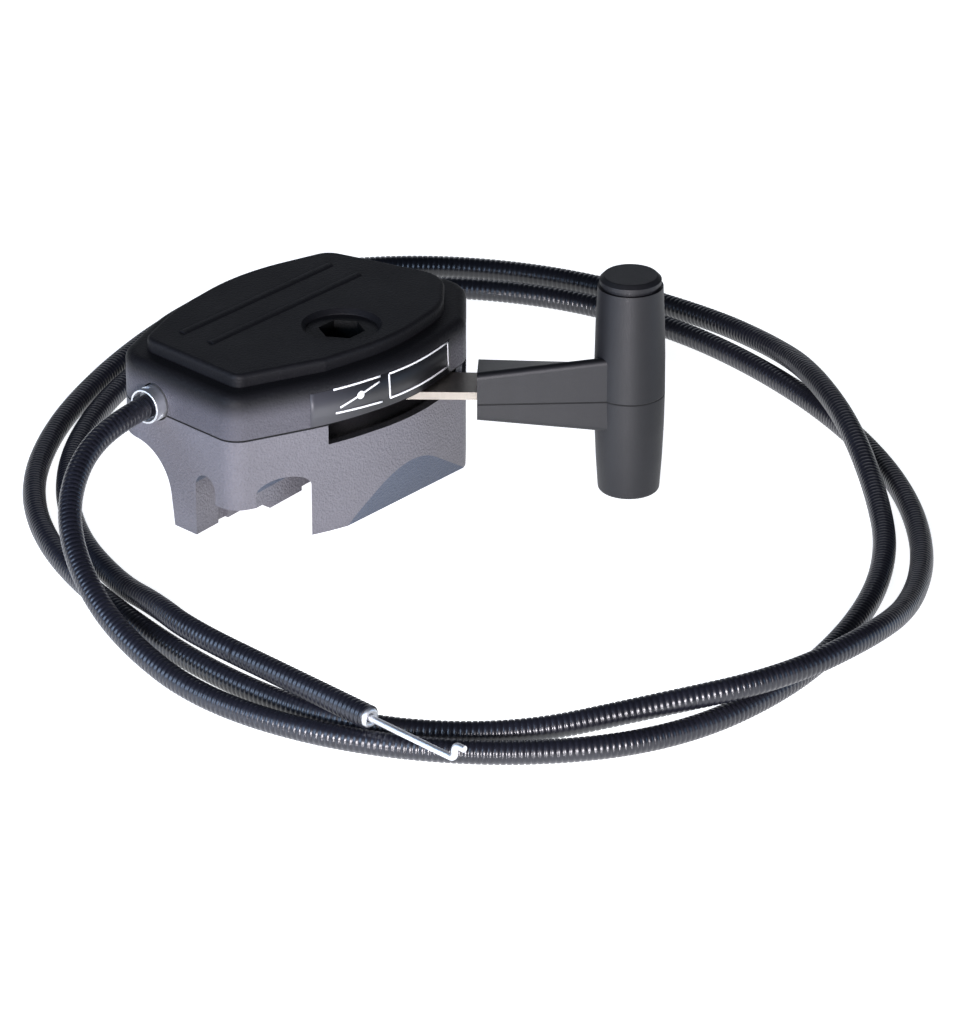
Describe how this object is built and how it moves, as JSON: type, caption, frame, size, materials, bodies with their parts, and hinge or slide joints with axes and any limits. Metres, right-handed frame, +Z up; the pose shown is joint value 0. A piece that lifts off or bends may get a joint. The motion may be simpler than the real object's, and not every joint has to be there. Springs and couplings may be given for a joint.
{
  "type": "throttle control",
  "caption": "Throttle and choke control: T-handled lever in a two-part case that bolts onto a handlebar tube, with a long looped push-pull cable and Z-bent wire end.",
  "frame": {"origin": "on the bolt's axis, at the seat that rests on the handlebar", "axes": "+Z up the bolt, from the handlebar to the cover; +X along the handlebar, away from the cable outlet; +Y towards the side of the case with the cable outlet"},
  "size_m": [0.2527, 0.2644, 0.0578],
  "materials": {
    "cover_plastic": "fine matte moulding",
    "housing_plastic": "spark-eroded moulding",
    "grip_plastic": "satin moulding",
    "conduit_jacket": "glossy ribbed jacket",
    "zinc_steel": "zinc plated",
    "bright_zinc": "bright zinc plated",
    "spring_steel": "plain",
    "wire_steel": "drawn wire",
    "nylon": "natural"
  },
  "bodies": {
    "housing": {"top_cover": "cover_plastic", "lower_housing": "housing_plastic", "case_screw_1": "zinc_steel", "case_screw_2": "zinc_steel", "case_screw_3": "zinc_steel", "pivot_bush": "zinc_steel", "friction_washer_lower": "nylon", "friction_washer_upper": "nylon", "wave_spring": "spring_steel", "retaining_washer": "zinc_steel", "ferrule": "bright_zinc", "ferrule_clip": "bright_zinc", "conduit": "conduit_jacket", "conduit_end": "conduit_jacket", "inner_wire_lever_end": "wire_steel"},
    "lever": {"lever_blade": "zinc_steel", "handle_upper_shell": "grip_plastic", "handle_lower_shell": "grip_plastic", "handle_cap": "grip_plastic", "handle_screw_1": "zinc_steel", "handle_screw_2": "zinc_steel"},
    "far_wire": {"inner_wire_far_end": "wire_steel"}
  },
  "joints": [
    {"name": "throttle_lever", "type": "hinge", "parent": "housing", "child": "lever", "pos_m": [0, 0, 0.0191], "axis": [0, 0, 1], "range_deg": [-76, 8], "deforming": ["inner_wire_lever_end"]},
    {"name": "inner_wire_slide", "type": "slide", "parent": "housing", "child": "far_wire", "axis": [-0.1056, -0.9944, 0], "range_m": [-0.0235, 0.003]}
  ],
  "couplings": [
    {"joint": "inner_wire_slide", "follows": "throttle_lever", "m_per_rad": 0.0167}
  ]
}
